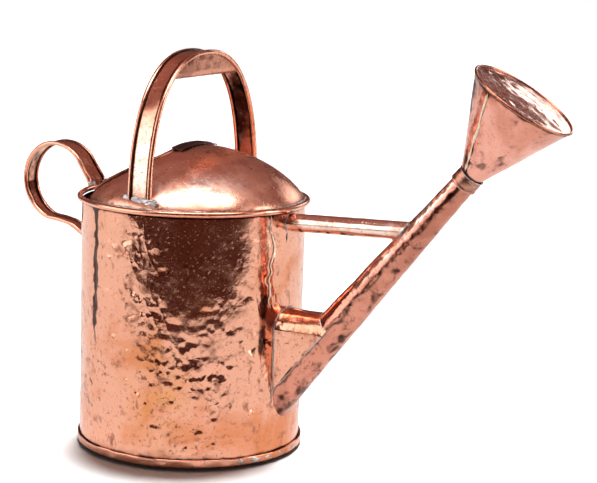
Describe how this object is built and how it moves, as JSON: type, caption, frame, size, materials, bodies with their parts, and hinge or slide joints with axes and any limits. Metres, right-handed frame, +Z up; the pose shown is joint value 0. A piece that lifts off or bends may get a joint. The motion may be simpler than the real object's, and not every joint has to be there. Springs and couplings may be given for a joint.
{
  "type": "watering can",
  "caption": "Copper watering can with a half hood, arched carrying handle, rear pouring loop, braced straight spout and a removable perforated rose.",
  "frame": {"origin": "centre of the bottom pan's flat underside, on the ground and on the body's axis", "axes": "+X from the body towards the spout and rose, +Z up, +Y to the left when looking along the spout"},
  "size_m": [0.5921, 0.2292, 0.3977],
  "materials": {
    "hammered_copper": "hand-hammered polished copper, slightly rippled and dented",
    "polished_copper": "smooth polished copper",
    "shaded_copper": "browned copper with fire stain",
    "dull_copper": "dark tarnished copper, never polished",
    "solder": "wiped soft solder, silver grey and lumpy"
  },
  "bodies": {
    "can": {"body_shell": "hammered_copper", "rim_bead": "polished_copper", "bottom_pan": "dull_copper", "foot_band": "hammered_copper", "hood": "polished_copper", "hood_edge_bead": "shaded_copper", "hood_crown_strip": "shaded_copper", "carry_strap": "polished_copper", "carry_bead_front": "polished_copper", "carry_bead_rear": "polished_copper", "grip_trough": "shaded_copper", "loop_strap": "polished_copper", "loop_bead_left": "polished_copper", "loop_bead_right": "polished_copper", "spout_tube": "hammered_copper", "spout_breast": "hammered_copper", "spout_brace": "polished_copper", "spout_stop_ring": "shaded_copper"},
    "rose_collar": {"rose_socket": "shaded_copper"},
    "rose_head": {"rose_cone": "hammered_copper", "rose_rim_bead": "polished_copper", "rose_face": "shaded_copper"}
  },
  "joints": [
    {"name": "rose_pull", "type": "slide", "parent": "can", "child": "rose_collar", "axis": [0.6441, 0, 0.7649], "range_m": [0, 0.03]},
    {"name": "rose_turn", "type": "hinge", "parent": "rose_collar", "child": "rose_head", "pos_m": [0.29783, 0, 0.29855], "axis": [0.6441, 0, 0.7649], "continuous": true}
  ]
}
